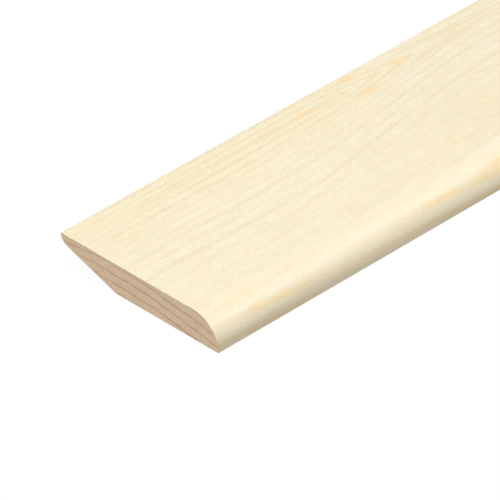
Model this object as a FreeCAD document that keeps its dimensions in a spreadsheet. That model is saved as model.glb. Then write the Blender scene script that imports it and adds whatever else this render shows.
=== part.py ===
import FreeCAD, Part
import math
import os

import Sketcher

# Dual-purpose skirting board: one length of planed softwood, cut square at both ends.
#
# The section is moulded on two opposite corners, so that either wide face can be the one that
# shows. On one long edge the upper face rolls over in a quarter round of the board's full
# thickness, down to a foot that is square to the lower face. On the other long edge the lower face
# turns up at the knee into a long shallow bevel, which ends in a small round nose. The nose meets
# the upper face square.
#
# X runs along the board, Y across it from the quarter round to the nose, and Z out of the upper
# face. The board lies on its lower face. The origin is the middle of the rectangle that it covers.

# Driving dimensions, in millimetres and degrees. The quarter round takes its radius from the
# thickness, and the bevel takes its width from the nose that it runs into.
SIZES = {
    "board_length": 2400,
    "board_width": 94,
    "board_thickness": 15,
    "bevel_angle": 18.4,
    "nose_radius": 5.5,
    "knee_radius": 6,
    "arris_radius": 0.4,
}

# How far a long edge may lie from the place in the section where it is looked for.
EDGE_REACH = 0.01

# Numbers for the start, end and centre of a curve, and for the line that the section stands on.
START, END, CENTRE = 1, 2, 3
BASE_LINE = -1


def make_sizes(doc):
    """The table of driving dimensions, one row for each."""
    sheet = doc.addObject("Spreadsheet::Sheet", "sizes")
    for row, (name, value) in enumerate(SIZES.items(), 1):
        sheet.set(f"A{row}", name)
        sheet.set(f"B{row}", str(value))
        sheet.setAlias(f"B{row}", name)
    doc.recompute()
    return sheet


def line(start, end):
    return Part.LineSegment(FreeCAD.Vector(*start, 0), FreeCAD.Vector(*end, 0))


def arc(centre, radius, first, last):
    """An arc that turns anticlockwise from one angle to another, in degrees."""
    circle = Part.Circle(FreeCAD.Vector(*centre, 0), FreeCAD.Vector(0, 0, 1), radius)
    return Part.ArcOfCircle(circle, math.radians(first), math.radians(last))


def section_curves(sheet):
    """The six curves of the outline, anticlockwise from the foot."""
    half_width = sheet.board_width / 2
    thickness = sheet.board_thickness
    slope = math.radians(sheet.bevel_angle)

    foot = (-half_width, 0)
    round_centre = (thickness - half_width, 0)
    round_top = (round_centre[0], thickness)
    nose_tip = (half_width, thickness)
    nose_centre = (half_width - sheet.nose_radius, thickness)
    bevel_top = (
        nose_centre[0] + sheet.nose_radius * math.sin(slope),
        nose_centre[1] - sheet.nose_radius * math.cos(slope),
    )

    # The knee rounds off the corner where the bevel would meet the lower face.
    corner = bevel_top[0] - bevel_top[1] / math.tan(slope)
    setback = sheet.knee_radius * math.tan(slope / 2)
    knee_start = (corner - setback, 0)
    knee_end = (corner + setback * math.cos(slope), setback * math.sin(slope))
    knee_centre = (knee_start[0], sheet.knee_radius)

    return [
        line(foot, knee_start),
        arc(knee_centre, sheet.knee_radius, -90, sheet.bevel_angle - 90),
        line(knee_end, bevel_top),
        arc(nose_centre, sheet.nose_radius, sheet.bevel_angle - 90, 0),
        line(nose_tip, round_top),
        arc(round_centre, thickness, 90, 180),
    ]


def draw_section(body, sheet):
    """The moulded section: one closed outline that follows the driving dimensions."""
    across = next(plane for plane in body.Origin.OriginFeatures if plane.Role == "YZ_Plane")
    sketch = body.newObject("Sketcher::SketchObject", "section")
    sketch.AttachmentSupport = [(across, "")]
    sketch.MapMode = "FlatFace"
    lower, knee, bevel, nose, upper, quarter_round = sketch.addGeometry(section_curves(sheet))

    # The outline is smooth but for two arrises, at the tip of the nose and at the foot.
    sketch.addConstraint([
        Sketcher.Constraint("Tangent", lower, END, knee, START),
        Sketcher.Constraint("Tangent", knee, END, bevel, START),
        Sketcher.Constraint("Tangent", bevel, END, nose, START),
        Sketcher.Constraint("Coincident", nose, END, upper, START),
        Sketcher.Constraint("Tangent", upper, END, quarter_round, START),
        Sketcher.Constraint("Coincident", quarter_round, END, lower, START),
    ])
    # Both curved edges stand square to a face, because their centres lie in its plane.
    sketch.addConstraint([
        Sketcher.Constraint("Horizontal", lower),
        Sketcher.Constraint("Horizontal", upper),
        Sketcher.Constraint("PointOnObject", lower, START, BASE_LINE),
        Sketcher.Constraint("PointOnObject", quarter_round, CENTRE, BASE_LINE),
        Sketcher.Constraint("PointOnObject", nose, CENTRE, upper),
    ])

    width, thickness = sheet.board_width, sheet.board_thickness
    slope = math.radians(sheet.bevel_angle)
    dimensions = (
        ("width", "sizes.board_width", ("DistanceX", lower, START, nose, END, width)),
        ("half_width", "sizes.board_width / 2", ("DistanceX", lower, START, BASE_LINE, START, width / 2)),
        ("thickness", "sizes.board_thickness", ("DistanceY", BASE_LINE, START, upper, START, thickness)),
        ("bevel_angle", "sizes.bevel_angle * 1 deg", ("Angle", bevel, slope)),
        ("nose_radius", "sizes.nose_radius", ("Radius", nose, sheet.nose_radius)),
        ("knee_radius", "sizes.knee_radius", ("Radius", knee, sheet.knee_radius)),
    )
    for name, formula, dimension in dimensions:
        number = sketch.addConstraint(Sketcher.Constraint(*dimension))
        sketch.renameConstraint(number, name)
        sketch.setExpression(f"Constraints.{name}", formula)
    return sketch


def long_edge(shape, across, height):
    """The name of the edge that runs along the board at one place in its section."""
    for number, edge in enumerate(shape.Edges, 1):
        middle = edge.CenterOfMass
        if middle.distanceToPoint(FreeCAD.Vector(0, across, height)) < EDGE_REACH:
            return f"Edge{number}"
    raise ValueError(f"no edge runs along the board at {across}, {height}")


def make_board(doc, sheet):
    """The section carried along the board, with its two sharp arrises eased."""
    body = doc.addObject("PartDesign::Body", "skirting_board")
    body.Label = "skirting_board"

    moulding = body.newObject("PartDesign::Pad", "moulding")
    moulding.Profile = draw_section(body, sheet)
    moulding.SideType = "Symmetric"
    moulding.setExpression("Length", "sizes.board_length")
    doc.recompute()

    half_width = sheet.board_width / 2
    tip = long_edge(moulding.Shape, half_width, sheet.board_thickness)
    foot = long_edge(moulding.Shape, -half_width, 0)
    arrises = body.newObject("PartDesign::Fillet", "eased_arrises")
    arrises.Base = (moulding, [tip, foot])
    arrises.setExpression("Radius", "sizes.arris_radius")
    return body


def check(doc, body):
    """Stops before anything is written if a feature failed or the board isn't one sound solid."""
    for item in doc.Objects:
        if {"Invalid", "Error"} & set(item.State):
            raise RuntimeError(f"{item.Label} didn't compute: {item.State}")
    if body.Shape.isNull() or not body.Shape.isValid() or len(body.Shape.Solids) != 1:
        raise RuntimeError(f"{body.Label} isn't one valid solid")


def main():
    doc = FreeCAD.newDocument("skirting_board")
    board = make_board(doc, make_sizes(doc))
    doc.recompute()
    check(doc, board)
    os.makedirs("parts", exist_ok=True)
    board.Shape.exportStep(f"parts/{board.Label}.step")

    box = board.Shape.BoundBox
    print(f"{board.Label}: {box.XLength:.1f} x {box.YLength:.1f} x {box.ZLength:.1f} mm")
    print(f"volume {board.Shape.Volume / 1000:.1f} cm3, section {board.Shape.Volume / box.XLength:.1f} mm2")


main()
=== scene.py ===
"""One length of planed pine skirting board: its fine mesh, its wood and the white table it lies on.

The board is moulded on two opposite corners: a quarter round of the full thickness on one long
edge, and a shallow bevel with a thin round nose on the other. Its mesh is the section carried along
the length, closed by two sawn ends with shallow saw marks. The wood is drawn by nodes from each
point's own place in the board: growth rings that close into a pointed arch beside the nose, their
dark latewood lines, resin streaks and fibre on the planed faces, and the rings' arcs and rays on the
ends.
"""

import math

import bpy
import numpy as np
from mathutils import Matrix, Vector


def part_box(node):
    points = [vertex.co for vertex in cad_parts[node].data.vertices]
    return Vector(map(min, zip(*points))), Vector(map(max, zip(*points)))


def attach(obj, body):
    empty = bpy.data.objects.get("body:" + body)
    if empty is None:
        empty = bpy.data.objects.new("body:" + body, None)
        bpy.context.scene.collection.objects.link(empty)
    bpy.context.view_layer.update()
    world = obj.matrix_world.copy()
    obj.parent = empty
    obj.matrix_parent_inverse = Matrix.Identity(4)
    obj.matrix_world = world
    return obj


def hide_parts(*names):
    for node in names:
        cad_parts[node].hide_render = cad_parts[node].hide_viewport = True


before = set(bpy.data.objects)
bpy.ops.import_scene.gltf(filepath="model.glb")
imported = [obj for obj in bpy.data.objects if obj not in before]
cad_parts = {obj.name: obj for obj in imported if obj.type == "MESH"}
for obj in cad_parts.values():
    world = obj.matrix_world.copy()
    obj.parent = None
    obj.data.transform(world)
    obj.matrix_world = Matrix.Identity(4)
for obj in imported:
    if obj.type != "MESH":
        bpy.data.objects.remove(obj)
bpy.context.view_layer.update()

bl_info = {
    "name": "Skirting Board Length",
    "version": (1, 0, 0),
    "blender": (4, 5, 0),
    "location": "View3D > Sidebar > Skirting",
    "description": "Builds one length of planed pine skirting board on a white table",
    "category": "Add Mesh",
}

NODE = "skirting_board"
PIECE = "pine_skirting_board"
MM = 0.001

LOW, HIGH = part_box(NODE)


def whole_mm(length):
    """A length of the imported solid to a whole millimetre, because its facets cut it a hair short."""
    return round(length / MM) * MM


def screen(red, green, blue):
    """A colour written as screen values from 0 to 255, turned into amounts of light."""
    share = np.array((red, green, blue)) / 255
    return tuple(np.where(share <= 0.04045, share / 12.92, ((share + 0.055) / 1.055) ** 2.4))


def length_of(name, description, default):
    return bpy.props.FloatProperty(name=name, description=description, default=default, unit="LENGTH")


def angle_of(name, description, degrees):
    return bpy.props.FloatProperty(
        name=name, description=description, default=math.radians(degrees), unit="ROTATION", subtype="ANGLE"
    )


def colour_of(name, description, default):
    return bpy.props.FloatVectorProperty(
        name=name, description=description, default=default, subtype="COLOR", size=3, min=0.0, max=1.0
    )


def strength_of(name, description, default):
    return bpy.props.FloatProperty(name=name, description=description, default=default, min=0.0)


class BoardSizes(bpy.types.PropertyGroup):
    """The board's section, its length and its sawn ends."""

    length: length_of("Length", "From one sawn end to the other", whole_mm(HIGH.x - LOW.x))
    width: length_of("Width", "From the foot to the tip of the nose", whole_mm(HIGH.y - LOW.y))
    thickness: length_of(
        "Thickness", "Between the wide faces, and the quarter round's radius", whole_mm(HIGH.z - LOW.z)
    )
    bevel_angle: angle_of("Bevel angle", "Rise of the bevel from the lower face", 18.4)
    nose_radius: length_of("Nose radius", "Round of the thin edge, centred in the upper face", 5.5 * MM)
    knee_radius: length_of("Knee radius", "Round where the lower face turns into the bevel", 6 * MM)
    arris_radius: length_of("Arris radius", "Easing of the foot and of the nose's tip", 0.4 * MM)
    end_easing: length_of("End easing", "Wear round the edge of each sawn end", 0.1 * MM)
    saw_pitch: length_of("Saw pitch", "From one saw mark on an end to the next", 1.6 * MM)
    saw_depth: length_of("Saw depth", "From a saw mark's ridge to its furrow", 0.03 * MM)


class WoodColours(bpy.types.PropertyGroup):
    """The tones of the timber, as planed and as sawn, and a painted shade for the round's foot."""

    sapwood: colour_of("Sapwood", "Planed wood between the rings' dark lines", screen(218, 207, 181))
    heartwood: colour_of("Heartwood", "Planed wood round the heart line", screen(217, 205.5, 177))
    latewood: colour_of("Latewood", "Dark line that ends each ring", screen(194, 181, 142))
    resin: colour_of("Resin", "Streaks round the heart line", screen(219, 193, 150))
    fleck: colour_of("Fleck", "Short ducts that the planer opened", screen(186, 173, 143))
    # This colour is painted shade: the round is drawn darker towards its foot, where it turns away from
    # the lights above.
    foot_shade: colour_of(
        "Foot wood", "The dark ring that the foot of the round lies in", screen(192, 181, 155.5)
    )
    end_grain: colour_of("End grain", "Sawn end between the rings' dark lines", screen(211.5, 184.8, 154))
    end_latewood: colour_of("End latewood", "Rings on the sawn ends", screen(178, 147, 112))
    end_edge: colour_of("End edge", "Sawn end under the upper face and the round", screen(199, 186, 155))


class StageSettings(bpy.types.PropertyGroup):
    """The white table, its lights and the camera."""

    azimuth: angle_of("Azimuth", "Where the camera stands; 0 looks along +Y", -45.0)
    elevation: angle_of("Elevation", "How far the camera looks down", 34.83)
    distance: length_of("Distance", "From the camera to the near foot corner", 2.986)
    table_tone: strength_of("Table tone", "Share of the light that the table throws back", 0.05)
    table_glow: strength_of("Table glow", "Light that comes up through the table", 0.95)
    overhead: strength_of("Overhead", "Strength of the wide light above", 2.25)
    edge_light: strength_of("Edge light", "Strength of the light that glances off the round", 2.5)
    end_light: strength_of("End light", "Strength of the light that faces the near end", 1.15)


# Mesh

# How far apart the section's points lie, the fewest steps round an arc, the least gap between two
# points, and how much finer the curves are worked out, so that the points lie on them.
SECTION_STEP = 0.45 * MM
FEWEST_STEPS = 4
LEAST_GAP = 0.03 * MM
FINENESS = 16

# How far apart the section is set down along the board, and how near to the eased ends.
STATION_STEP = 40 * MM
END_MARGIN = 0.5 * MM

# How many steps ease a sawn end's edge, and how many rows of faces close the end.
EASING_STEPS = 4
CAP_ROWS = 30

# Where the blade's centre was when it cut the ends, across the section and up from the lower face, and
# how fast and how high the slower wave of its marks is, next to one from mark to mark of full depth.
SAW_CENTRE = (-110 * MM, 60 * MM)
SLOW_PACE = 0.37
SLOW_SHARE = 0.15

# Which of a cell's corners make its face in the middle columns of a sawn end, and in its first and
# last columns, where a cell's two corners at the tip are one point.
END_FACES = (
    (slice(1, -1), (0, 1, 2, 3)),
    (slice(0, 1), (0, 1, 2)),
    (slice(-1, None), (0, 1, 3)),
)

# The bake map's share of its height for the long faces, and the margin round each part of it.
LONG_FACES_SHARE = 0.86
MAP_MARGIN = 0.004


def arc(centre, radius, first, last):
    """Points round an arc of the section, from one angle to another."""
    steps = max(FEWEST_STEPS, math.ceil(abs(last - first) * radius / SECTION_STEP)) * FINENESS
    turn = np.linspace(first, last, steps + 1)
    return np.stack((centre[0] + radius * np.cos(turn), centre[1] + radius * np.sin(turn)), 1)


def section(sizes):
    """The section's lower and upper outline, from the foot across to the nose.

    Each is an array of (across, up), and the two share their places across, so that they pair up.
    The quarter round is centred in the lower face's plane and the nose in the upper face's, so each
    meets one face square and runs smoothly into the next. The knee is an arc that touches the lower
    face and the bevel. The two sharp arrises are eased by arcs that touch both of their sides.
    """
    half, thick, ease = sizes.width / 2, sizes.thickness, sizes.arris_radius
    slope, nose, knee = sizes.bevel_angle, sizes.nose_radius, sizes.knee_radius
    quarter, straight = math.pi / 2, math.pi

    round_centre = (thick - half, 0.0)
    foot_lean = math.asin(ease / (thick - ease))
    foot_centre = (round_centre[0] - (thick - ease) * math.cos(foot_lean), ease)

    nose_centre = (half - nose, thick)
    tip_lean = math.asin(ease / (nose - ease))
    tip_centre = (nose_centre[0] + (nose - ease) * math.cos(tip_lean), thick - ease)

    bevel_start = nose_centre[0] + (nose - thick * math.cos(slope)) / math.sin(slope)
    knee_centre = (bevel_start - knee * math.tan(slope / 2), knee)

    lower = (
        arc(foot_centre, ease, straight, straight + quarter),
        arc(knee_centre, knee, -quarter, slope - quarter),
        arc(nose_centre, nose, slope - quarter, -tip_lean),
        arc(tip_centre, ease, -tip_lean, 0),
    )
    upper = (
        arc(foot_centre, ease, straight, straight - foot_lean),
        arc(round_centre, thick, straight - foot_lean, quarter),
        arc(tip_centre, ease, quarter, 0),
    )
    first, last = lower[0][0, 0], lower[-1][-1, 0]
    wanted = [piece[::FINENESS, 0] for piece in (*lower, *upper)] + [np.arange(first, last, SECTION_STEP)]
    across = np.unique(np.round(np.concatenate(wanted) / LEAST_GAP)) * LEAST_GAP
    inside = across[(across > first + LEAST_GAP / 2) & (across < last - LEAST_GAP / 2)]
    across = np.concatenate(([first], inside, [last]))
    outlines = (np.concatenate(pieces) for pieces in (lower, upper))
    return [np.stack((across, np.interp(across, line[:, 0], line[:, 1])), 1) for line in outlines]


def stations(sizes):
    """Places along the board, and how far the outline draws in at each.

    Along the board it doesn't. Over the last fraction of a millimetre at each end it draws in by a
    quarter circle, so the sawn end's edge is worn round.
    """
    half, wear = sizes.length / 2, sizes.end_easing
    turn = np.linspace(math.pi / 2, 0, EASING_STEPS + 1)
    end_place = wear * (1 - np.sin(turn)) - half
    end_inset = wear * (1 - np.cos(turn))
    inner = half - wear - END_MARGIN
    middle = np.linspace(-inner, inner, round(sizes.length / STATION_STEP) + 1)
    place = np.concatenate((end_place, middle, -end_place[::-1]))
    return place, np.concatenate((end_inset, np.zeros(len(middle)), end_inset[::-1]))


def saw_marks(sizes, across, up):
    """How deep a sawn end lies under its ridges: arcs round the blade's centre, a pitch apart.

    The distance from that centre, counted in pitches, gives a wave. A second, slower wave makes some
    of the marks deeper than their neighbours.
    """
    away = np.hypot(across - SAW_CENTRE[0], up - SAW_CENTRE[1])
    turn = 2 * math.pi * away / sizes.saw_pitch
    wave = (0.5 - SLOW_SHARE) * np.cos(turn) + SLOW_SHARE * np.cos(turn * SLOW_PACE + 1)
    return sizes.saw_depth * (0.5 - wave)


def corners_of(grid):
    """The four corners of each of a grid's cells, turning from the first row's side."""
    return np.stack((grid[:-1, :-1], grid[:-1, 1:], grid[1:, 1:], grid[1:, :-1]), 2)


def long_faces(outline, place, inset):
    """The long faces' points, faces and bake map: the section set down at each station.

    At each station the outline is drawn in along its own inward normal. The map has the length from
    left to right, and the way round the section from bottom to top.
    """
    step = np.roll(outline, -1, 0) - outline
    along = step + np.roll(step, 1, 0)
    inward = np.stack((-along[:, 1], along[:, 0]), 1) / np.linalg.norm(along, axis=1)[:, None]
    rings = outline + inset[:, None, None] * inward
    points = np.concatenate((np.broadcast_to(place[:, None, None], (*rings.shape[:2], 1)), rings), 2)

    number = np.arange(rings.shape[0] * rings.shape[1]).reshape(rings.shape[:2])
    number = np.concatenate((number, number[:, :1]), 1)

    way = np.concatenate(([0], np.cumsum(np.linalg.norm(step, axis=1))))
    up = MAP_MARGIN + (LONG_FACES_SHARE - 2 * MAP_MARGIN) * way / way[-1]
    right = MAP_MARGIN + (1 - 2 * MAP_MARGIN) * (place - place[0]) / (place[-1] - place[0])
    spots = np.stack(np.meshgrid(right, up, indexing="ij"), 2)
    return points, number, spots


def sawn_end(sizes, ring, number, place, far, first_new):
    """One sawn end's points, point numbers and bake map, as a grid that closes the end ring.

    A column stands at each pair of a lower and an upper point of the ring, and its rows divide the
    way between the two evenly. Each point lies as deep as the saw marks there, towards the board.
    The border is the ring's own points, and at the foot and at the nose a column is one point.
    """
    last = len(ring) // 2
    upward = np.roll(ring[::-1], 1, 0)[: last + 1]
    share = np.linspace(0, 1, CAP_ROWS + 1)[:, None, None]
    spot = ring[: last + 1] * (1 - share) + upward * share
    depth = saw_marks(sizes, spot[..., 0], spot[..., 1])
    points = np.concatenate(((place + depth * (-1 if far else 1))[..., None], spot), 2)[1:-1, 1:-1]

    index = np.zeros((CAP_ROWS + 1, last + 1), int)
    index[0] = number[: last + 1]
    index[-1] = number[::-1][: last + 1]
    index[:, 0], index[:, -1] = number[0], number[last]
    index[1:-1, 1:-1] = first_new + np.arange(points.shape[0] * points.shape[1]).reshape(points.shape[:2])

    right = (spot[..., 0] + sizes.width / 2) / sizes.width
    right = (far + MAP_MARGIN + (1 - 2 * MAP_MARGIN) * right) / 2
    up = LONG_FACES_SHARE + (1 - LONG_FACES_SHARE - MAP_MARGIN) * spot[..., 1] / sizes.thickness
    return points, index, np.stack((right, up), 2)


def board_surface(sizes):
    """The board's points and faces, each face's corners in the bake map, and whether it is sawn."""
    lower, upper = section(sizes)
    outline = np.concatenate((lower, upper[-2:0:-1]))
    place, inset = stations(sizes)
    walls, number, spots = long_faces(outline, place, inset)
    points = [walls.reshape(-1, 3)]
    faces = corners_of(number).reshape(-1, 4).tolist()
    marks = [corners_of(spots).reshape(-1, 2)]
    planed = len(faces)

    for station, far in ((0, False), (len(place) - 1, True)):
        held = sum(len(part) for part in points)
        cap, index, spots = sawn_end(
            sizes, walls[station, :, 1:], number[station], place[station], far, held
        )
        points.append(cap.reshape(-1, 3))
        for columns, kept in END_FACES:
            kept = list(kept) if far else list(kept)[::-1]
            faces.extend(corners_of(index)[:, columns][:, :, kept].reshape(-1, len(kept)).tolist())
            marks.append(corners_of(spots)[:, columns][:, :, kept].reshape(-1, 2))
    sawn = np.arange(len(faces)) >= planed
    return np.concatenate(points), faces, np.concatenate(marks), sawn


def make_board(sizes):
    """The board as one object at the origin, with its bake map and the number of each face's finish."""
    points, faces, marks, sawn = board_surface(sizes)
    mesh = bpy.data.meshes.new(PIECE)
    mesh.from_pydata(points.tolist(), [], faces)
    mesh.uv_layers.new(name="OFBake").uv.foreach_set("vector", marks.astype(np.float32).ravel())
    mesh.polygons.foreach_set("use_smooth", np.ones(len(faces), bool))
    mesh.polygons.foreach_set("material_index", sawn.astype(np.int32))
    mesh.update()
    board = bpy.data.objects.new(PIECE, mesh)
    bpy.context.scene.collection.objects.link(board)
    return board


# Nodes

class Amount:
    """A number or colour that a material's nodes work out at each point. Sums with it add Math nodes."""

    def __init__(self, tree, socket):
        self.tree = tree
        self.socket = socket

    def __add__(self, other):
        return worked(self.tree, "ADD", self, other)

    def __sub__(self, other):
        return worked(self.tree, "SUBTRACT", self, other)

    def __rsub__(self, other):
        return worked(self.tree, "SUBTRACT", other, self)

    def __mul__(self, other):
        return worked(self.tree, "MULTIPLY", self, other)

    def __truediv__(self, other):
        return worked(self.tree, "DIVIDE", self, other)

    def __pow__(self, power):
        return worked(self.tree, "POWER", self, power)

    def __abs__(self):
        return worked(self.tree, "ABSOLUTE", self)

    __radd__ = __add__
    __rmul__ = __mul__


def feed(tree, value, socket):
    """Links an amount to a node's socket, or writes a plain number or colour on it."""
    if isinstance(value, Amount):
        tree.links.new(value.socket, socket)
    elif socket.type == "RGBA":
        socket.default_value = (*value, 1.0)
    else:
        socket.default_value = value


def worked(tree, operation, *values):
    """What a Math node makes of one to three numbers."""
    node = tree.nodes.new("ShaderNodeMath")
    node.operation = operation
    for value, socket in zip(values, node.inputs):
        feed(tree, value, socket)
    return Amount(tree, node.outputs[0])


def at_least(amount, floor):
    return worked(amount.tree, "MAXIMUM", amount, floor)


def fraction(amount):
    return worked(amount.tree, "FRACT", amount)


def bell(amount, centre, spread):
    """One at the centre, falling to a third as far away as the spread: e to the minus square."""
    away = (amount - centre) / spread
    return worked(amount.tree, "EXPONENT", away * away * -1)


def ramp(amount, start, end):
    """A smooth rise from nought at the start to one at the end, or a fall where the end is lower."""
    node = amount.tree.nodes.new("ShaderNodeMapRange")
    node.interpolation_type = "SMOOTHSTEP"
    for value, name in ((amount, "Value"), (start, "From Min"), (end, "From Max")):
        feed(amount.tree, value, node.inputs[name])
    return Amount(amount.tree, node.outputs["Result"])


def between(amount, start, full, last, end):
    """One from full to last, after a smooth rise from the start and before a smooth fall to the end."""
    return ramp(amount, start, full) * ramp(amount, end, last)


def point_of(tree, x, y, z):
    """Three numbers as one place."""
    node = tree.nodes.new("ShaderNodeCombineXYZ")
    for value, socket in zip((x, y, z), node.inputs):
        feed(tree, value, socket)
    return Amount(tree, node.outputs[0])


# How far one more in a noise's seed shifts it on each axis, in its own blotches.
SEED_SHIFT = (7.3, 3.1, 5.7)


def grain_noise(place, grain, seed, detail=1.0):
    """Soft noise from nought to one about a half, whose blotches are as long as the grain on each axis."""
    tree = place.tree
    fit = tree.nodes.new("ShaderNodeMapping")
    fit.inputs["Scale"].default_value = tuple(1 / size for size in grain)
    fit.inputs["Location"].default_value = tuple(seed * shift for shift in SEED_SHIFT)
    feed(tree, place, fit.inputs["Vector"])
    noise = tree.nodes.new("ShaderNodeTexNoise")
    noise.inputs["Scale"].default_value = 1.0
    noise.inputs["Detail"].default_value = detail
    tree.links.new(fit.outputs[0], noise.inputs["Vector"])
    return Amount(tree, noise.outputs[0])


def ripple(place, grain, seed, detail=1.0):
    """The same noise, from half under nought to half over it."""
    return grain_noise(place, grain, seed, detail) - 0.5


def waves(place, table, detail=1.0):
    """Noise of several sizes. A row of the table has the grain, the seed and the height of one."""
    return sum(ripple(place, grain, seed, detail) * height for grain, seed, height in table)


def weights(along, table):
    """Short stretches along the board. A row has the middle, the length and the strength of one."""
    return sum(bell(along, middle, length) * strength for middle, length, strength in table)


def short_streaks(along, off, table):
    """Short streaks along the board.

    A row of the table says how far along the streak's middle lies and its length, how far off its
    middle lies and its width, and its strength.
    """
    return sum(
        bell(along, at, length) * bell(off, middle, width) * strength
        for at, length, middle, width, strength in table
    )


def chance(number, start):
    """A number from nought to one that differs at random from one whole number to the next."""
    whole = worked(number.tree, "FLOOR", number) + start
    node = number.tree.nodes.new("ShaderNodeTexWhiteNoise")
    node.noise_dimensions = "1D"
    feed(number.tree, whole, node.inputs["W"])
    return Amount(number.tree, node.outputs["Value"])


# A Mix node's sockets for the share, for the colours under and over, and for what it makes of them.
MIX_SHARE, MIX_UNDER, MIX_OVER, MIX_RESULT = 0, 6, 7, 2


def laid_over(under, over, share):
    """One colour over another, as thick as the share says."""
    tree = share.tree
    node = tree.nodes.new("ShaderNodeMix")
    node.data_type = "RGBA"
    node.clamp_factor = True
    feed(tree, share, node.inputs[MIX_SHARE])
    feed(tree, under, node.inputs[MIX_UNDER])
    feed(tree, over, node.inputs[MIX_OVER])
    return Amount(tree, node.outputs[MIX_RESULT])


def shaded(colour, tone, tint=(1, 1, 1)):
    """A colour made lighter by a tone, or darker where it is below nought.

    Each of the colour's parts grows by itself times the tone times its part of the tint.
    """
    tree = tone.tree
    change = tree.nodes.new("ShaderNodeVectorMath")
    change.operation = "SCALE"
    change.inputs[0].default_value = tint
    feed(tree, tone, change.inputs["Scale"])
    sum_of = tree.nodes.new("ShaderNodeVectorMath")
    sum_of.operation = "MULTIPLY_ADD"
    tree.links.new(change.outputs[0], sum_of.inputs[0])
    feed(tree, colour, sum_of.inputs[1])
    feed(tree, colour, sum_of.inputs[2])
    return Amount(tree, sum_of.outputs[0])


def new_wood(name):
    """A new material's tree and shader, and each point's place in the board in millimetres.

    The place counts along the board from its near end, across it from the middle and up from the
    lower face.
    """
    material = bpy.data.materials.new(name)
    material.use_nodes = True
    tree = material.node_tree
    shader = tree.nodes["Principled BSDF"]
    source = tree.nodes.new("ShaderNodeTexCoord")
    place = tree.nodes.new("ShaderNodeMapping")
    place.inputs["Scale"].default_value = (1 / MM,) * 3
    place.inputs["Location"].default_value = (-LOW.x / MM, 0, 0)
    tree.links.new(source.outputs["Object"], place.inputs["Vector"])
    parts = tree.nodes.new("ShaderNodeSeparateXYZ")
    tree.links.new(place.outputs[0], parts.inputs[0])
    along, across, up = (Amount(tree, socket) for socket in parts.outputs)
    return material, shader, Amount(tree, place.outputs[0]), along, across, up


# How much bare wood reflects beside its colour, as the shader counts it.
WOOD_SHINE = 0.25


def finish_wood(material, shader, colour, roughness, relief, depth):
    """Links a wood's colour, roughness and fine relief, some millimetres deep, to its shader."""
    tree = material.node_tree
    shader.inputs["Specular IOR Level"].default_value = WOOD_SHINE
    feed(tree, colour, shader.inputs["Base Color"])
    feed(tree, roughness, shader.inputs["Roughness"])
    bump = tree.nodes.new("ShaderNodeBump")
    bump.inputs["Distance"].default_value = depth * MM
    feed(tree, relief, bump.inputs["Height"])
    tree.links.new(bump.outputs[0], shader.inputs["Normal"])
    return material


# Wood, in millimetres

# The board's thickness, and where the quarter round's centre lies across it.
THICKNESS = whole_mm(HIGH.z - LOW.z) / MM
ROUND_CENTRE = THICKNESS - whole_mm(HIGH.y - LOW.y) / MM / 2

# The heart line lies straight beside the nose, this far across, as far as the near stretch goes.
# Beyond it the line sways about one further in, this far each way and over this length.
HEART_ACROSS = 37.2
NEAR_STRETCH = 260
SWAY = 10
SWAY_LENGTH = 2600

# From where to where across the board a place counts as beside the heart line.
BESIDE_HEART = (24, 34)

# How softly a ring turns at the heart line.
HEART_TURN = 0.6

# How far the rings bow towards the quarter round, where along the board and over what length, and the
# four places across it where the bow comes in, is full, goes and has gone.
BOW = 1.6
BOW_ALONG = 92
BOW_LENGTH = 40
BOW_ACROSS = (-25, 0, 28, 34)

# The pointed arch: over this stretch a ring closes in on the heart line by the rise. For each
# millimetre that it lies away from the line it starts earlier by the lead, and for each millimetre of
# rise the rings spread by a share.
ARCH_START = 150
ARCH_END = 236
ARCH_RISE = 12.5
ARCH_LEAD = 1.7
ARCH_SPREAD = 0.014

# How much slow noise raises and lowers the rings beyond the near stretch.
FURTHER_RISE = 70

# How wavy the rings are: the grain, the seed and the height of each size of wave. Near the heart line
# they are calmer: their share there, the depth over which it grows by one, and the most it comes to.
RING_WAVES = (
    ((110, 45, 45), 2, 5),
    ((24, 9, 9), 3, 1.6),
    ((6, 3, 3), 4, 0.45),
)
CALM = 0.3
CALM_DEPTH = 35
MOST_WAVY = 1.2

# What a point under the upper face adds to its depth for each millimetre, and the least depth there is.
UNDER_FACE = 0.9
LEAST_DEPTH = -30

# How deep a ring is twice as wide as at the heart line, how many rings pass while they grow wider by
# the base of natural logarithms, and the count of rings at a depth of nought.
TWICE_AS_WIDE = 34.7
RINGS_PER_GROWTH = 10.53
FIRST_COUNT = 0.46

# Where the random run of strong and faint rings starts.
RING_RUN = 28637

# The count of the ring that grows stronger beside the arch, and the four places along the board where
# it comes in, is full, goes and has gone.
STRONGER_RING = 4.8
STRONGER_ALONG = (175, 200, 225, 260)

# From one depth to the next the rings grow plain, but no longer so this far along the board.
PLAIN_DEPTH = (44, 56)
PLAIN_END = 460

# How long the rings take to come in from the sawn end, and how much longer beside the heart line.
ENTRY = 14
LATER_ENTRY = 34


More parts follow.
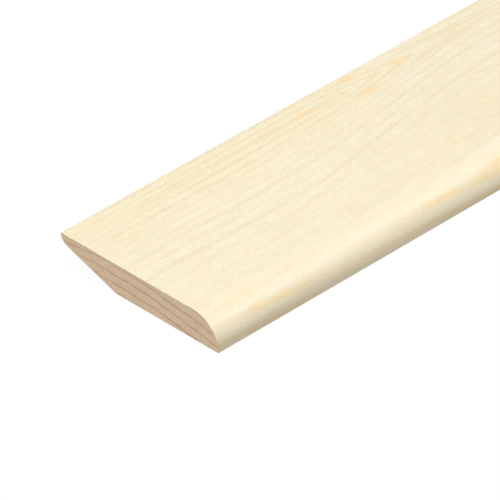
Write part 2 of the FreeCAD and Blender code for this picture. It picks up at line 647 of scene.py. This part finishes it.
def ring_depth(place, along, across, up):
    """How far under the heart line's ring a point lies, across the board, and how far to its side.

    It is the distance across from the heart line, plus a rise along it that closes each ring into a
    pointed arch, later near the heart line than away from it. Points under the upper face lie
    deeper. Beyond the near stretch, slow noise raises and lowers the whole field, which closes and
    opens more arches. Three sizes of noise make the rings wavy.
    """
    past = at_least(along - NEAR_STRETCH, 0)
    sway = worked(past.tree, "COSINE", past * (2 * math.pi / SWAY_LENGTH))
    heart = HEART_ACROSS - SWAY * (1 - sway)
    bow = bell(along, BOW_ALONG, BOW_LENGTH) * BOW * between(across, *BOW_ACROSS)
    side = across + bow - heart
    away = worked(side.tree, "SQRT", side * side + HEART_TURN ** 2)

    rise = ramp(along, ARCH_START - abs(side) * ARCH_LEAD, ARCH_END) * ARCH_RISE
    swell = grain_noise(place, (380, 900, 900), seed=1, detail=0) - 0.45
    further = swell * FURTHER_RISE * ramp(along, NEAR_STRETCH, 2 * NEAR_STRETCH)
    field = away * (rise * ARCH_SPREAD + 1) + rise + further + (THICKNESS - up) * UNDER_FACE

    wavy = worked(field.tree, "MINIMUM", at_least(field / CALM_DEPTH + CALM, CALM), MOST_WAVY)
    return at_least(field + waves(place, RING_WAVES, detail=0) * wavy, LEAST_DEPTH), side


def ring_count(depth):
    """The number of rings down to a depth: a logarithm, because they are wider away from the heart."""
    growth = worked(depth.tree, "LOGARITHM", depth / TWICE_AS_WIDE + 1, math.e)
    return growth * RINGS_PER_GROWTH + FIRST_COUNT


# The rings as the sawn end shows them: their common centre, far under the board, the height of one
# over it and their width, and how much further those over a height fall by the nose.
PITH_ACROSS = 17
PITH_DEPTH = 285
FIRST_RING_UP = 4.75
RING_WIDTH = 4.52
NOSE_FALL = 0.95
FALL_FROM_UP = (10, 11.6)

# How wavy the arcs are: the grain, the seed and the height of each size of wave.
ARC_WAVES = (
    ((260, 15, 15), 11, 1.7),
    ((40, 3, 3), 12, 1.1),
)


def arc_rings(place, along, across, up):
    """How far round the rings' centre a point lies, its height over their arcs, and its ring.

    The height is the point's own plus what the arcs have fallen by there, the way round squared over
    twice the radius. Noise that changes slowly along the board makes the arcs wavy.
    """
    turn = worked(up.tree, "ARCTAN2", across - PITH_ACROSS, up + PITH_DEPTH) * PITH_DEPTH
    fall = ramp(across, *BESIDE_HEART) * ramp(up, *FALL_FROM_UP) * NOSE_FALL
    height = up + turn * turn / (2 * PITH_DEPTH) + waves(place, ARC_WAVES) + fall
    return turn, height, (height - FIRST_RING_UP) / RING_WIDTH


def arc_line(rings, width):
    """A ring's dark line where the count of rings is whole, as wide as a share of the ring."""
    return bell(fraction(rings + 0.5), 0.5, width)


def ring_tones(place, along, across, depth, beads):
    """How dark the rings' late wood is on the upper face, and how pale the early wood after it.

    Late in its width a ring darkens slowly and ends sharply, and the next starts pale. Some are
    stronger than others, and one grows stronger beside the arch. Over the near stretch they are faint
    far from the heart line. They come in faintly by the sawn end, later beside the heart line than
    away from it. Noise breaks the lines into strokes, and the dark ones into beads.
    """
    rings = ring_count(depth)
    plain = ramp(depth, *PLAIN_DEPTH) * ramp(along, PLAIN_END, NEAR_STRETCH) * 0.6
    stronger = bell(rings, STRONGER_RING, 0.3) * between(along, *STRONGER_ALONG)
    strength = (chance(rings, RING_RUN) * 0.8 + stronger * 0.6 + 0.2) * (1 - plain)
    entry = ramp(along, 0, ramp(across, *BESIDE_HEART) * LATER_ENTRY + ENTRY) * 0.75 + 0.25
    strokes = grain_noise(place, (30, 1.2, 1.2), seed=5) * 2.4 - 0.2
    drawn = strength * entry * strokes
    year = fraction(rings)
    late = ramp(year, 0.42, 0.9) * ramp(year, 1, 0.88) * drawn * beads
    return late, (1 - year) ** 4 * drawn


# Painted shade, darker towards the round's foot: how far up it reaches and how far up it is full, and how
# much less far it is full away from the sawn end, from where to where.
FOOT_SHADE_TOP = 8.8
FOOT_SHADE_FULL = 2.6
FOOT_SHADE_LESS = 1.8
FOOT_SHADE_ALONG = (20, 120)

# The warm streaks on the round: their fall along the board, the height of the first at the near end,
# and the way up from one to the next.
STREAK_FALL = 0.056
FIRST_STREAK_UP = 3.3
STREAK_PITCH = 7.1

# The height where the streaks start and the one where they are full, how much higher each of the two
# lies further along, and from where to where that changes.
STREAK_START, STREAK_FULL = 12, 9.6
HIGHER_START, HIGHER_FULL = 1.2, 0.9
HIGHER_ALONG = (90, 140)

# Where the streaks begin to wander and fade and where they do so fully, and how far they wander.
WANDER_ALONG = (190, 420)
WANDER = 90

# Where along the board the streaks are weaker, over what length and by how much.
WEAK_PLACES = ((78, 16, 0.5), (5, 18, 0.3), (124, 15, 0.35))

# A short streak that lies above the others, and a short fainter place in the one under it.
EXTRA_STREAKS = ((172, 12, 11, 1.6, 1.3), (168, 8, 8, 1, -0.4))


def round_tones(place, along, across, up):
    """How much painted shade darkens the round towards its foot, and how strong its warm streaks are.

    The painted shade is fuller by the sawn end. The streaks run at a slant, because the round cuts the
    wood's rings so. They start higher up from about a hundred millimetres on. Towards the near stretch's
    end and beyond it they wander, and fade here and there.
    """
    on_round = ramp(across, ROUND_CENTRE + 2, ROUND_CENTRE - 11)
    # Painted shade: the round grows darker towards its foot.
    foot = ramp(up, FOOT_SHADE_TOP, FOOT_SHADE_FULL - ramp(along, *FOOT_SHADE_ALONG) * FOOT_SHADE_LESS)

    beyond = ramp(along, *WANDER_ALONG)
    wander = ripple(place, (330, 900, 900), seed=17, detail=0) * WANDER * beyond
    fading = ramp(grain_noise(place, (140, 9, 9), seed=18, detail=0), 0.4, 0.56) * 0.75 * beyond
    uneven = grain_noise(place, (26, 3, 3), seed=16) * 1.6 + 0.25
    higher = ramp(along, *HIGHER_ALONG)
    starting = ramp(up, higher * HIGHER_START + STREAK_START, higher * HIGHER_FULL + STREAK_FULL)
    streak = arc_line((up + along * STREAK_FALL - FIRST_STREAK_UP + wander) / STREAK_PITCH, 0.23)
    streak = streak * (1 - fading) * starting * (1 - weights(along, WEAK_PLACES)) * uneven
    return foot * on_round, (streak + short_streaks(along, up, EXTRA_STREAKS)) * on_round


# The legs of the first arch and of the one behind it: how far each closes in on the heart line and how
# far off it stays, its width, where it has closed in and where it starts to, and the four places along
# the board where it comes in, is full, goes and has gone.
FIRST_ARCH = (7, 0, 1.8, (198, 164), (158, 166, 197, 202))
NEXT_ARCH = (4.6, 1.4, 0.75, (244, 180), (190, 206, 262, 300))

# Where along the first arch's legs resin pools, over what length and how strongly, and the middle and
# the length of the stretch of the next arch that it tints.
POOLS = ((168, 5, 0.9), (194, 5, 0.9))
TINTED_STRETCH = (234, 13)

# Short streaks of resin beside the heart line.
RESIN_STREAKS = (
    (118, 3, 0.8, 1.1, 0.9),
    (135, 7, 0, 1.7, 1),
    (137, 5, -7.5, 1.5, 0.5),
    (160, 3.5, -0.6, 1.1, 0.8),
    (147, 8, -3, 6, 0.15),
    (19, 2, 0.8, 1.2, 0.4),
)


def arch_legs(along, side, closes_in, stays_off, width, closing, shown):
    """The two legs of an arch, one each side of the heart line, which close in on it along the board."""
    off = ramp(along, *closing) * closes_in + stays_off
    return bell(abs(side), off, width) * between(along, *shown)


def resin_tones(place, along, depth, side, behind, on_top):
    """How much resin lies in the wood.

    It fills the first arch's two legs, where it pools in two places. It tints a stretch of the next
    arch's legs and lies in short streaks. Noise breaks all of these up, and scatters specks round the
    heart line.
    """
    legs = arch_legs(along, side, *FIRST_ARCH) * (weights(along, POOLS) + 0.25)
    tinted = behind * bell(along, *TINTED_STRETCH) * 0.4
    streaks = short_streaks(along, side, RESIN_STREAKS)
    broken = ramp(grain_noise(place, (3.5, 1.2, 1.2), seed=13), 0.32, 0.6) * 0.7 + 0.3
    specks = ramp(grain_noise(place, (8, 1.2, 1.2), seed=6), 0.6, 0.74) * ramp(depth, 45, 2)
    return (legs + tinted + streaks) * on_top * broken + specks * 0.4


# How far a fibre's tone changes the red, green and blue in the wood, how far a patch's does, and how
# far a warm streak's.
FIBRE_TINT = (0.87, 1.0, 1.38)
PATCH_TINT = (0.01, 0.06, 0.2)
STREAK_TINT = (-0.005, -0.095, -0.22)

# The height of the fine bumps on the planed faces and on the sawn ends.
PLANED_RELIEF = 0.03
SAWN_RELIEF = 0.06


def planed_wood(colours):
    """Planed pine: rings, resin, ducts and fibre on a pale ground that is warmer round the heart.

    On the upper face the rings follow the heart line. Under it, from the quarter round on, they are
    the arcs that the sawn end shows, cut at a slant.
    """
    material, shader, place, along, across, up = new_wood("planed_pine")
    depth, side = ring_depth(place, along, across, up)
    on_top = ramp(up, THICKNESS - 2.4, THICKNESS - 0.2)
    beads = grain_noise(place, (1.4, 0.6, 0.6), seed=10) * 3.6 - 0.8
    late, early = (tone * on_top for tone in ring_tones(place, along, across, depth, beads))
    under = arc_line(arc_rings(place, along, across, up)[2], 0.14) * (1 - on_top)
    foot, streak = round_tones(place, along, across, up)
    behind = arch_legs(along, side, *NEXT_ARCH)
    resin = resin_tones(place, along, depth, side, behind, on_top)

    fibre = ripple(place, (24, 1.0, 1.0), seed=7, detail=2)
    speck = ripple(place, (1.6, 0.9, 0.9), seed=14, detail=0)
    cloud = ripple(place, (13, 4, 4), seed=8)
    patches = ripple(place, (11, 6, 6), seed=15)
    ducts = ramp(grain_noise(place, (2.6, 0.35, 0.35), seed=9, detail=0), 0.76, 0.84)

    # A strip of the round is warmer by the near end. Further along, the upper face is warmer towards
    # the round, cooler towards the nose and a little darker, and the round's crown is cooler.
    flat = 1 - ramp(across, ROUND_CENTRE + 1, ROUND_CENTRE - 4) * ramp(along, 120, 160)
    dimmed = ramp(along, 90, 210) * flat * 0.03
    amber = (
        bell(across, -38, 3) * ramp(along, 80, 50) * 0.4
        + ramp(across, 0, -20) * ramp(along, 40, 160) * flat * 0.12
        - ramp(across, 0, 20) * ramp(along, 140, 190) * 0.12
        - bell(across, -35, 3.5) * ramp(along, 130, 170) * 0.25
    )

    near_heart = ramp(depth, 24, 6) * (ramp(along, 200, 140) * 0.8 + 0.2)
    colour = laid_over(colours.sapwood, colours.heartwood, near_heart * on_top)
    colour = shaded(colour, patches - amber, PATCH_TINT)
    # Painted shade darkens the round towards its foot, and the warm streaks are tinted over it.
    colour = shaded(laid_over(colour, colours.foot_shade, foot), streak, STREAK_TINT)
    tone = fibre * 0.09 + speck * 0.11 + cloud * 0.06 + early * 0.03 - dimmed
    dark = late * 0.31 + behind * on_top * (beads * 0.2 + 0.15) + under * 0.1
    colour = laid_over(shaded(colour, tone, FIBRE_TINT), colours.latewood, dark)
    colour = laid_over(colour, colours.resin, resin)
    colour = laid_over(colour, colours.fleck, ducts * 0.4)
    roughness = fibre * 0.12 - late * 0.05 + 0.45
    return finish_wood(material, shader, colour, roughness, fibre - late * 0.4 - ducts, PLANED_RELIEF)


def sawn_wood(colours):
    """Sawn pine: flat arcs of rings crossed by fine rays, mottled by the cut fibres."""
    material, shader, place, along, across, up = new_wood("sawn_pine_end")
    turn, height, rings = arc_rings(place, along, across, up)
    polar = point_of(up.tree, along, turn, height)
    strength = grain_noise(polar, (900, 5, 1.0), seed=4, detail=2) * 2.2 - 0.1
    strength = strength * (ramp(across, 40, 10) * 0.4 + 0.6)
    by_nose = (ramp(across, 26, 32) * 0.25 + ramp(across, 37, 42) * 0.4) * ramp(up, 10.5, 11.5)
    late = arc_line(rings, 0.11) * (strength + by_nose)

    # The cut fibres are lighter and darker from one to the next, and short rays cross the rings.
    rays = grain_noise(polar, (900, 0.5, 1.6), seed=2)
    mottle = ripple(place, (900, 0.55, 0.5), seed=3)
    cloud = ripple(place, (900, 4, 2), seed=5)

    # A greener rim runs under the upper face and round the quarter round.
    beyond = at_least(ROUND_CENTRE - across, 0)
    under_rim = THICKNESS - worked(up.tree, "SQRT", beyond * beyond + up * up)
    rim = bell(under_rim, 1.1, 1.2) * 0.4

    colour = laid_over(colours.end_grain, colours.end_latewood, late * 0.75)
    colour = laid_over(colour, colours.end_edge, rim)
    light_rays, dark_rays = ramp(rays, 0.56, 0.75), ramp(rays, 0.42, 0.25)
    tone = mottle * 0.62 + cloud * 0.12 + light_rays * 0.16 - dark_rays * 0.12
    relief = mottle + rays - late * 0.5
    return finish_wood(material, shader, shaded(colour, tone), mottle * 0.1 + 0.8, relief, SAWN_RELIEF)


# Stage

# The picture's frame in pixels, where the near foot corner stands in it, its scale there, and the
# width of the camera's sensor in millimetres.
PICTURE = 500
FOOT_CORNER_AT = (218.68, 353.67)
PIXELS_PER_MM = 2.4228
SENSOR = 36

# The table reaches far past any view of it, this far each way, and lies a hair under the board.
TABLE_HALF = 60
TABLE_GAP = 0.2 * MM

# Each wide light: its name, which is also its strength's, the way towards it and its spread in degrees.
LIGHTS = (
    ("overhead", (0, 0.12, 1), 20),
    ("edge_light", (0.58, -0.44, 0.69), 30),
    ("end_light", (-0.85, 0.25, 0.46), 40),
)

# How far over and under the horizon the sky is white, and from where it is dark, out of one overhead.
WHITE_UP_TO = 0.03
DARK_FROM = 0.1


def make_table(stage):
    """The white table: a flat sheet that glows and throws back a little light."""
    mesh = bpy.data.meshes.new("white_table")
    corners = np.array(((-1, -1), (1, -1), (1, 1), (-1, 1))) * TABLE_HALF
    points = np.concatenate((corners, np.full((4, 1), -TABLE_GAP)), 1)
    mesh.from_pydata(points.tolist(), [], [(0, 1, 2, 3)])
    table = bpy.data.objects.new("white_table", mesh)
    bpy.context.scene.collection.objects.link(table)

    material = bpy.data.materials.new("white_table")
    material.use_nodes = True
    shader = material.node_tree.nodes["Principled BSDF"]
    shader.inputs["Base Color"].default_value = (*(stage.table_tone,) * 3, 1)
    shader.inputs["Roughness"].default_value = 1.0
    shader.inputs["Specular IOR Level"].default_value = 0.0
    shader.inputs["Emission Color"].default_value = (1, 1, 1, 1)
    shader.inputs["Emission Strength"].default_value = stage.table_glow
    mesh.materials.append(material)


def make_sun(name, towards, strength, spread):
    """A wide light at no distance in particular, which shines from the given direction."""
    light = bpy.data.lights.new(name, "SUN")
    light.energy = strength
    light.angle = math.radians(spread)
    sun = bpy.data.objects.new(name, light)
    sun.rotation_euler = Vector(towards).to_track_quat("Z", "Y").to_euler()
    bpy.context.scene.collection.objects.link(sun)


def make_sky():
    """A dark sky that is white about the horizon, so that low views end in white too."""
    world = bpy.data.worlds.new("studio")
    world.use_nodes = True
    tree = world.node_tree
    source = tree.nodes.new("ShaderNodeTexCoord")
    parts = tree.nodes.new("ShaderNodeSeparateXYZ")
    tree.links.new(source.outputs["Generated"], parts.inputs[0])
    height = abs(Amount(tree, parts.outputs[2]))
    feed(tree, ramp(height, DARK_FROM, WHITE_UP_TO), tree.nodes["Background"].inputs["Strength"])
    tree.nodes["Background"].inputs["Color"].default_value = (1, 1, 1, 1)
    bpy.context.scene.world = world


def make_camera(stage):
    """The picture's camera: it looks from its angle, and the near foot corner falls on its pixel.

    Its lens is as long as the scale at that corner and its distance ask. The corner lies on the
    camera's own right, up and back axes as far off centre as its pixel does, times distance over
    focal length, and the camera stands that much the other way.
    """
    turn, rise = stage.azimuth, stage.elevation
    right = Vector((math.cos(turn), math.sin(turn), 0))
    back = Vector((math.sin(turn) * math.cos(rise), -math.cos(turn) * math.cos(rise), math.sin(rise)))
    up = back.cross(right)
    foot_corner = Vector((LOW.x, LOW.y, LOW.z))
    off_right = (FOOT_CORNER_AT[0] - PICTURE / 2) / PIXELS_PER_MM * MM
    off_up = (PICTURE / 2 - FOOT_CORNER_AT[1]) / PIXELS_PER_MM * MM

    lens = bpy.data.cameras.new("camera")
    lens.sensor_width = SENSOR
    lens.lens = SENSOR / PICTURE * PIXELS_PER_MM * stage.distance / MM
    lens.clip_start = 0.1
    lens.clip_end = 4 * TABLE_HALF
    camera = bpy.data.objects.new("camera", lens)
    place = Matrix((right, up, back)).transposed().to_4x4()
    place.translation = foot_corner - off_right * right - off_up * up + stage.distance * back
    camera.matrix_world = place
    bpy.context.scene.collection.objects.link(camera)
    bpy.context.scene.camera = camera


# Operators

class SKIRTING_OT_board(bpy.types.Operator):
    """Builds the board with its planed and sawn finishes"""

    bl_idname = "skirting.board"
    bl_label = "Build the Board"

    def execute(self, context):
        colours = context.scene.skirting_colours
        board = make_board(context.scene.skirting_sizes)
        board.data.materials.append(planed_wood(colours))
        board.data.materials.append(sawn_wood(colours))
        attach(board, "root")
        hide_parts(NODE)
        return {"FINISHED"}


class SKIRTING_OT_stage(bpy.types.Operator):
    """Builds the white table, its lights and the camera"""

    bl_idname = "skirting.stage"
    bl_label = "Build the Stage"

    def execute(self, context):
        stage = context.scene.skirting_stage
        make_table(stage)
        make_sky()
        for name, towards, spread in LIGHTS:
            make_sun(name, towards, getattr(stage, name), spread)
        make_camera(stage)
        context.scene.view_settings.view_transform = "Standard"
        return {"FINISHED"}


class SKIRTING_PT_panel(bpy.types.Panel):
    """The board's and the stage's settings, and the buttons that build them"""

    bl_label = "Skirting Board"
    bl_space_type = "VIEW_3D"
    bl_region_type = "UI"
    bl_category = "Skirting"

    def draw(self, context):
        for name, settings, operator in (
            ("Sizes", context.scene.skirting_sizes, None),
            ("Wood", context.scene.skirting_colours, SKIRTING_OT_board),
            ("Stage", context.scene.skirting_stage, SKIRTING_OT_stage),
        ):
            box = self.layout.box()
            box.label(text=name)
            for field in settings.__annotations__:
                box.prop(settings, field)
            if operator:
                box.operator(operator.bl_idname)


CLASSES = (
    BoardSizes, WoodColours, StageSettings, SKIRTING_OT_board, SKIRTING_OT_stage, SKIRTING_PT_panel,
)
SETTINGS = {
    "skirting_sizes": BoardSizes, "skirting_colours": WoodColours, "skirting_stage": StageSettings,
}


def register():
    for kind in CLASSES:
        bpy.utils.register_class(kind)
    for name, kind in SETTINGS.items():
        setattr(bpy.types.Scene, name, bpy.props.PointerProperty(type=kind))


def unregister():
    for name in SETTINGS:
        delattr(bpy.types.Scene, name)
    for kind in reversed(CLASSES):
        bpy.utils.unregister_class(kind)


def main():
    register()
    bpy.ops.skirting.board()
    bpy.ops.skirting.stage()


if __name__ == "__main__":
    main()
